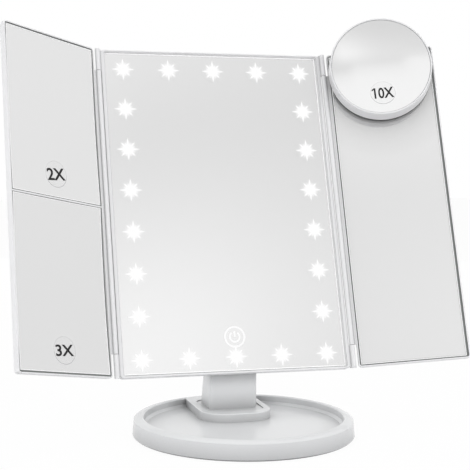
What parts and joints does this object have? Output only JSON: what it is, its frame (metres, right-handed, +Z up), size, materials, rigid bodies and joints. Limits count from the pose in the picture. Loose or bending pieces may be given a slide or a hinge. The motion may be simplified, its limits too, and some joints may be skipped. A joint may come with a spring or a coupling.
{
  "type": "trifold vanity mirror",
  "caption": "Free-standing lighted make-up mirror: tilting rectangular main mirror, two hinged side mirrors with magnifying glasses, round stick-on spot mirror, tray base.",
  "frame": {"origin": "centre of the round foot ring, on the table", "axes": "+Z up; -Y towards the user, so the mirrors face -Y; +X to the user's right, where the wing with the round spot mirror is. Rest pose: head leaning back, both wings swung forward as in use."},
  "size_m": [0.3304, 0.1768, 0.2993],
  "materials": {
    "white_body": "injection-moulded white ABS, satin gloss",
    "grey_cover": "fine matt texture",
    "white_inner": "matt white, moulded",
    "nylon": "natural nylon",
    "rubber_foot": "soft foam rubber",
    "steel_weight": "zinc-plated sheet",
    "screw_steel": "zinc-plated",
    "shaft_steel": "ground",
    "socket_steel": "tinned",
    "contact_nickel": "nickel-plated spring steel",
    "silvered_glass": "polished, silvered on the back",
    "board": "white solder mask",
    "led_resin": "yellow-white lamp resin",
    "black_plastic": "moulded",
    "cell_can": "wrapped can",
    "foam_tape": "white foam tape",
    "clear_cup": "clear soft vinyl"
  },
  "bodies": {
    "stand": {"base_tray": "white_body", "base_cover": "grey_cover", "base_weight": "steel_weight", "foot_ring": "rubber_foot", "base_screws": "screw_steel", "neck": "white_body", "neck_cover": "white_body", "neck_screws": "screw_steel"},
    "head": {"front_frame": "white_body", "main_mirror": "silvered_glass", "reflector_frame": "white_inner", "light_board": "board", "leds": "led_resin", "touch_board": "board", "rear_shell": "white_body", "control_board": "board", "usb_socket": "socket_steel", "switch_body": "black_plastic", "battery_contacts": "contact_nickel", "aa_cells": "cell_can", "rear_screws": "screw_steel", "left_hinge_pins": "shaft_steel", "right_hinge_pins": "shaft_steel", "tilt_shaft": "shaft_steel", "tilt_caps": "shaft_steel", "friction_washers": "nylon"},
    "left_wing": {"left_wing_shell": "white_body", "left_mirror_2x": "silvered_glass", "left_mirror_3x": "silvered_glass", "left_mirror_tape": "foam_tape"},
    "right_wing": {"right_wing_shell": "white_body", "right_mirror": "silvered_glass", "right_mirror_tape": "foam_tape"},
    "spot_mirror": {"spot_housing": "white_body", "spot_glass": "silvered_glass", "suction_cups": "clear_cup"},
    "battery_door": {"battery_door": "white_body"},
    "switch_knob": {"switch_knob": "black_plastic"}
  },
  "joints": [
    {"name": "head_tilt", "type": "hinge", "parent": "stand", "child": "head", "pos_m": [0, 0.034, 0.0466], "axis": [-1, 0, 0], "range_deg": [-18.8, 71.2]},
    {"name": "left_wing_fold", "type": "hinge", "parent": "head", "child": "left_wing", "pos_m": [-0.0873, 0.0513, 0.15638], "axis": [0, 0.3223, 0.9466], "range_deg": [-33, 147]},
    {"name": "right_wing_fold", "type": "hinge", "parent": "head", "child": "right_wing", "pos_m": [0.0873, 0.0513, 0.15638], "axis": [0, -0.3223, -0.9466], "range_deg": [-18, 78]},
    {"name": "spot_mirror_lift", "type": "slide", "parent": "right_wing", "child": "spot_mirror", "axis": [-0.309, -0.9003, 0.3065], "range_m": [0, 0.015]},
    {"name": "battery_door_slide", "type": "slide", "parent": "head", "child": "battery_door", "axis": [0, -0.3223, -0.9466], "range_m": [0, 0.014]},
    {"name": "power_switch_slide", "type": "slide", "parent": "head", "child": "switch_knob", "axis": [1, 0, 0], "range_m": [0, 0.003]}
  ]
}
